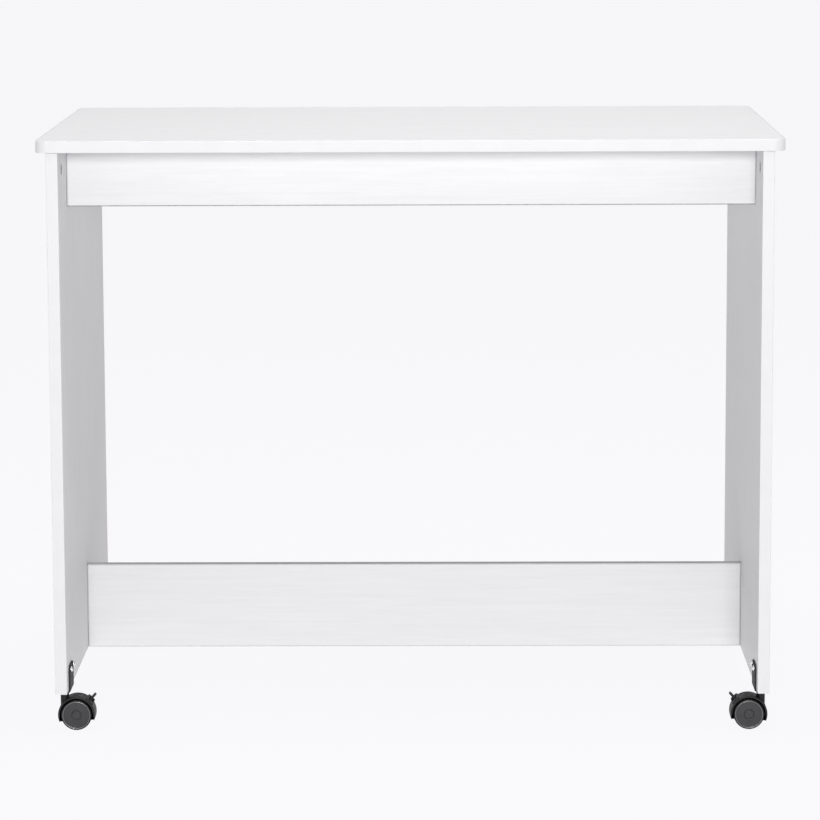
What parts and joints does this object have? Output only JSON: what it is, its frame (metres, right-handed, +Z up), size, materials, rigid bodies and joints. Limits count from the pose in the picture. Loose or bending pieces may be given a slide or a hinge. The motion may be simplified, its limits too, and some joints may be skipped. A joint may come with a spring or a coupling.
{
  "type": "sewing table",
  "caption": "Rectangular board table with solid side panels, a set-back apron and a lower stretcher, on side-mounted swivel casters with brake levers.",
  "frame": {"origin": "on the floor, under the middle of the tabletop", "axes": "+Z up, -Y towards the front of the table, +X to the right seen from the front"},
  "size_m": [0.95, 0.6, 0.77],
  "materials": {
    "white_board": "satin white melamine with a fine pressed wood grain",
    "zinc_cam": "die-cast zinc, matt",
    "bright_steel": "bright drawn steel",
    "chrome_screw": "bright plated",
    "dark_bracket": "dark semi-gloss pressed steel",
    "black_hood": "moulded black nylon, fine texture",
    "charcoal_wheel": "moulded charcoal nylon, satin",
    "black_lever": "moulded black nylon, satin"
  },
  "bodies": {
    "table": {"apron": "white_board", "bracket_front_left": "dark_bracket", "bracket_front_right": "dark_bracket", "bracket_rear_left": "dark_bracket", "bracket_rear_right": "dark_bracket", "bracket_screw_front_front_left": "chrome_screw", "bracket_screw_front_front_right": "chrome_screw", "bracket_screw_front_rear_left": "chrome_screw", "bracket_screw_front_rear_right": "chrome_screw", "bracket_screw_rear_front_left": "chrome_screw", "bracket_screw_rear_front_right": "chrome_screw", "bracket_screw_rear_rear_left": "chrome_screw", "bracket_screw_rear_rear_right": "chrome_screw", "cam_bolt_apron_left": "bright_steel", "cam_bolt_apron_right": "bright_steel", "cam_bolt_stretcher_lower_left": "bright_steel", "cam_bolt_stretcher_lower_right": "bright_steel", "cam_bolt_stretcher_upper_left": "bright_steel", "cam_bolt_stretcher_upper_right": "bright_steel", "cam_bolt_top_front_left": "bright_steel", "cam_bolt_top_front_right": "bright_steel", "cam_bolt_top_rear_left": "bright_steel", "cam_bolt_top_rear_right": "bright_steel", "cam_lock_apron_left": "zinc_cam", "cam_lock_apron_right": "zinc_cam", "cam_lock_stretcher_lower_left": "zinc_cam", "cam_lock_stretcher_lower_right": "zinc_cam", "cam_lock_stretcher_upper_left": "zinc_cam", "cam_lock_stretcher_upper_right": "zinc_cam", "cam_lock_top_front_left": "zinc_cam", "cam_lock_top_front_right": "zinc_cam", "cam_lock_top_rear_left": "zinc_cam", "cam_lock_top_rear_right": "zinc_cam", "king_pin_front_left": "bright_steel", "king_pin_front_right": "bright_steel", "king_pin_rear_left": "bright_steel", "king_pin_rear_right": "bright_steel", "lower_stretcher": "white_board", "side_panel_left": "white_board", "side_panel_right": "white_board", "tabletop": "white_board"},
    "caster_front_left": {"caster_hood_front_left": "black_hood", "axle_front_left": "bright_steel"},
    "wheel_front_front_left": {"wheel_front_front_left": "charcoal_wheel"},
    "wheel_rear_front_left": {"wheel_rear_front_left": "charcoal_wheel"},
    "brake_lever_front_left": {"brake_lever_front_left": "black_lever"},
    "caster_rear_left": {"caster_hood_rear_left": "black_hood", "axle_rear_left": "bright_steel"},
    "wheel_front_rear_left": {"wheel_front_rear_left": "charcoal_wheel"},
    "wheel_rear_rear_left": {"wheel_rear_rear_left": "charcoal_wheel"},
    "caster_front_right": {"caster_hood_front_right": "black_hood", "axle_front_right": "bright_steel"},
    "wheel_front_front_right": {"wheel_front_front_right": "charcoal_wheel"},
    "wheel_rear_front_right": {"wheel_rear_front_right": "charcoal_wheel"},
    "brake_lever_front_right": {"brake_lever_front_right": "black_lever"},
    "caster_rear_right": {"caster_hood_rear_right": "black_hood", "axle_rear_right": "bright_steel"},
    "wheel_front_rear_right": {"wheel_front_rear_right": "charcoal_wheel"},
    "wheel_rear_rear_right": {"wheel_rear_rear_right": "charcoal_wheel"}
  },
  "joints": [
    {"name": "swivel_front_left", "type": "hinge", "parent": "table", "child": "caster_front_left", "pos_m": [-0.4535, -0.254, 0.02], "axis": [0, 0, 1], "continuous": true},
    {"name": "spin_front_front_left", "type": "hinge", "parent": "caster_front_left", "child": "wheel_front_front_left", "pos_m": [-0.4375, -0.254, 0.02], "axis": [0, 1, 0], "continuous": true},
    {"name": "spin_rear_front_left", "type": "hinge", "parent": "caster_front_left", "child": "wheel_rear_front_left", "pos_m": [-0.4375, -0.254, 0.02], "axis": [0, 1, 0], "continuous": true},
    {"name": "brake_front_left", "type": "hinge", "parent": "caster_front_left", "child": "brake_lever_front_left", "pos_m": [-0.42083, -0.254, 0.03726], "axis": [0, 1, 0], "range_deg": [0, 28]},
    {"name": "swivel_rear_left", "type": "hinge", "parent": "table", "child": "caster_rear_left", "pos_m": [-0.4535, 0.254, 0.02], "axis": [0, 0, 1], "continuous": true},
    {"name": "spin_front_rear_left", "type": "hinge", "parent": "caster_rear_left", "child": "wheel_front_rear_left", "pos_m": [-0.4375, 0.254, 0.02], "axis": [0, 1, 0], "continuous": true},
    {"name": "spin_rear_rear_left", "type": "hinge", "parent": "caster_rear_left", "child": "wheel_rear_rear_left", "pos_m": [-0.4375, 0.254, 0.02], "axis": [0, 1, 0], "continuous": true},
    {"name": "swivel_front_right", "type": "hinge", "parent": "table", "child": "caster_front_right", "pos_m": [0.4535, -0.254, 0.02], "axis": [0, 0, 1], "continuous": true},
    {"name": "spin_front_front_right", "type": "hinge", "parent": "caster_front_right", "child": "wheel_front_front_right", "pos_m": [0.4375, -0.254, 0.02], "axis": [0, 1, 0], "continuous": true},
    {"name": "spin_rear_front_right", "type": "hinge", "parent": "caster_front_right", "child": "wheel_rear_front_right", "pos_m": [0.4375, -0.254, 0.02], "axis": [0, 1, 0], "continuous": true},
    {"name": "brake_front_right", "type": "hinge", "parent": "caster_front_right", "child": "brake_lever_front_right", "pos_m": [0.42083, -0.254, 0.03726], "axis": [0, -1, 0], "range_deg": [0, 28]},
    {"name": "swivel_rear_right", "type": "hinge", "parent": "table", "child": "caster_rear_right", "pos_m": [0.4535, 0.254, 0.02], "axis": [0, 0, 1], "continuous": true},
    {"name": "spin_front_rear_right", "type": "hinge", "parent": "caster_rear_right", "child": "wheel_front_rear_right", "pos_m": [0.4375, 0.254, 0.02], "axis": [0, 1, 0], "continuous": true},
    {"name": "spin_rear_rear_right", "type": "hinge", "parent": "caster_rear_right", "child": "wheel_rear_rear_right", "pos_m": [0.4375, 0.254, 0.02], "axis": [0, 1, 0], "continuous": true}
  ]
}
